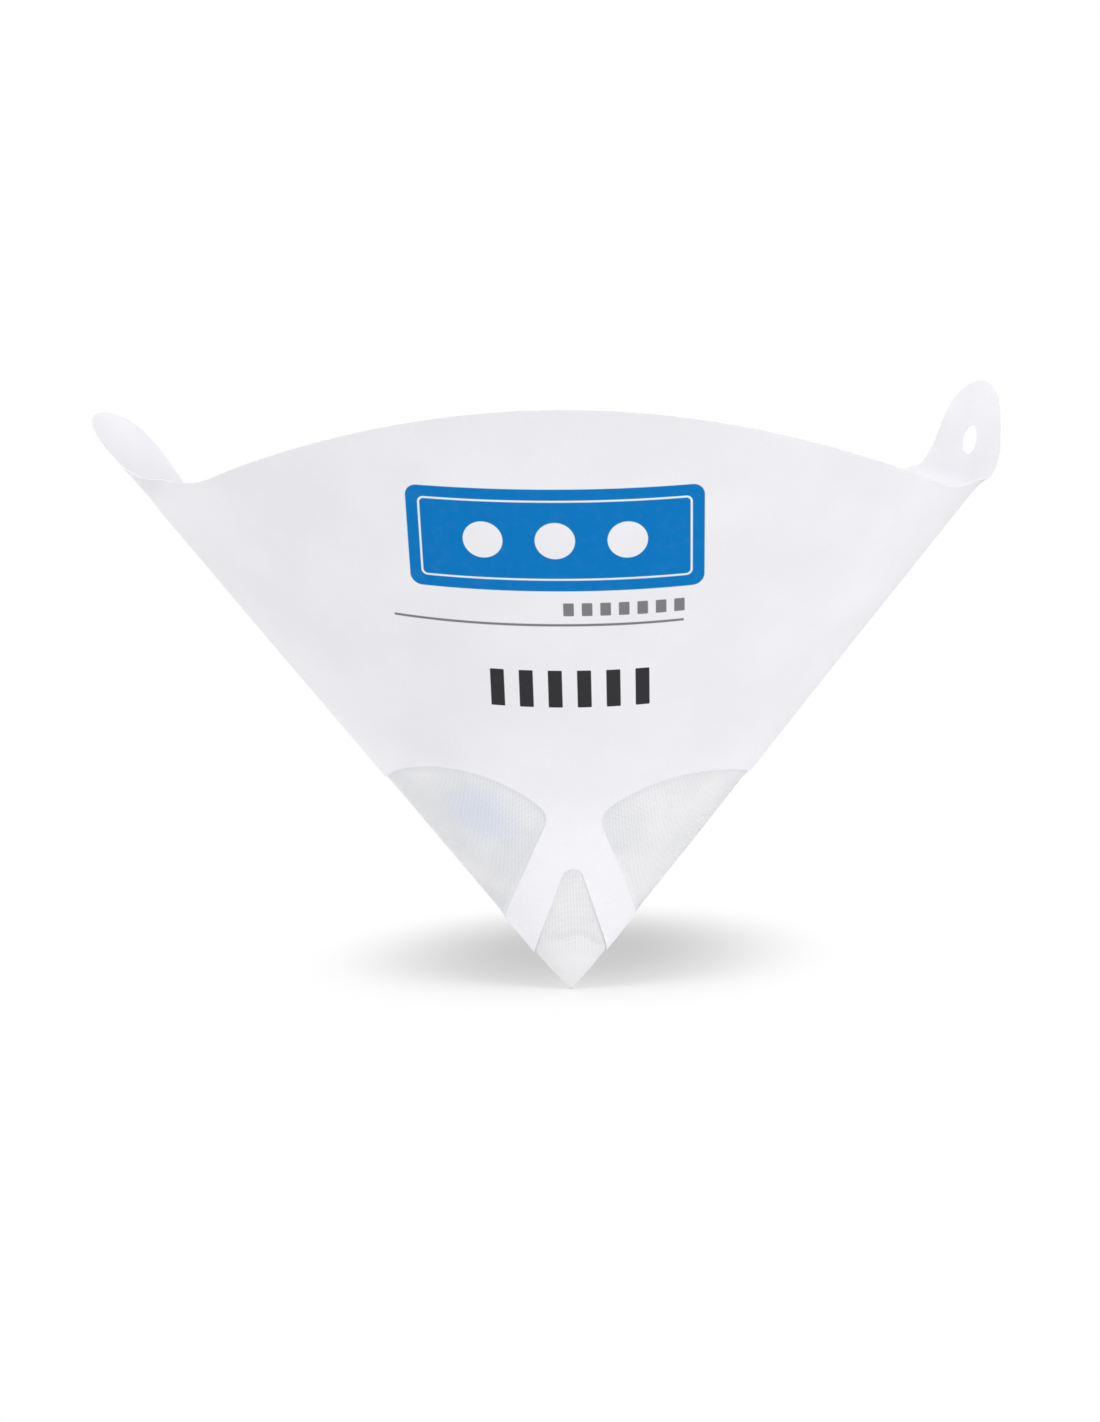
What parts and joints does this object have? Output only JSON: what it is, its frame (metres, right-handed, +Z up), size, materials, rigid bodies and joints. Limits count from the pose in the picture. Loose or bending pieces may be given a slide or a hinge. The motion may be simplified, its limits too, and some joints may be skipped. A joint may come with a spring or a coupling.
{
  "type": "paint strainer",
  "caption": "Disposable cone strainer for paint: a paper cone glued along a lap seam, with side windows, an arched lower edge, rim ears and a cone of fine nylon mesh closing the tip.",
  "frame": {"origin": "the tip of the mesh cone, where the opened strainer touches the floor", "axes": "+Z up along the cone's axis towards the rim, +X towards the punched ear, -Y towards the printed front, +Y towards the lap seam"},
  "size_m": [0.2106, 0.1392, 0.1417],
  "materials": {
    "paper": "uncoated white paper board, matt",
    "nylon_mesh": "fine translucent white nylon weave"
  },
  "bodies": {
    "root": {"paper_cone": "paper", "mesh_filter": "nylon_mesh"}
  },
  "joints": []
}
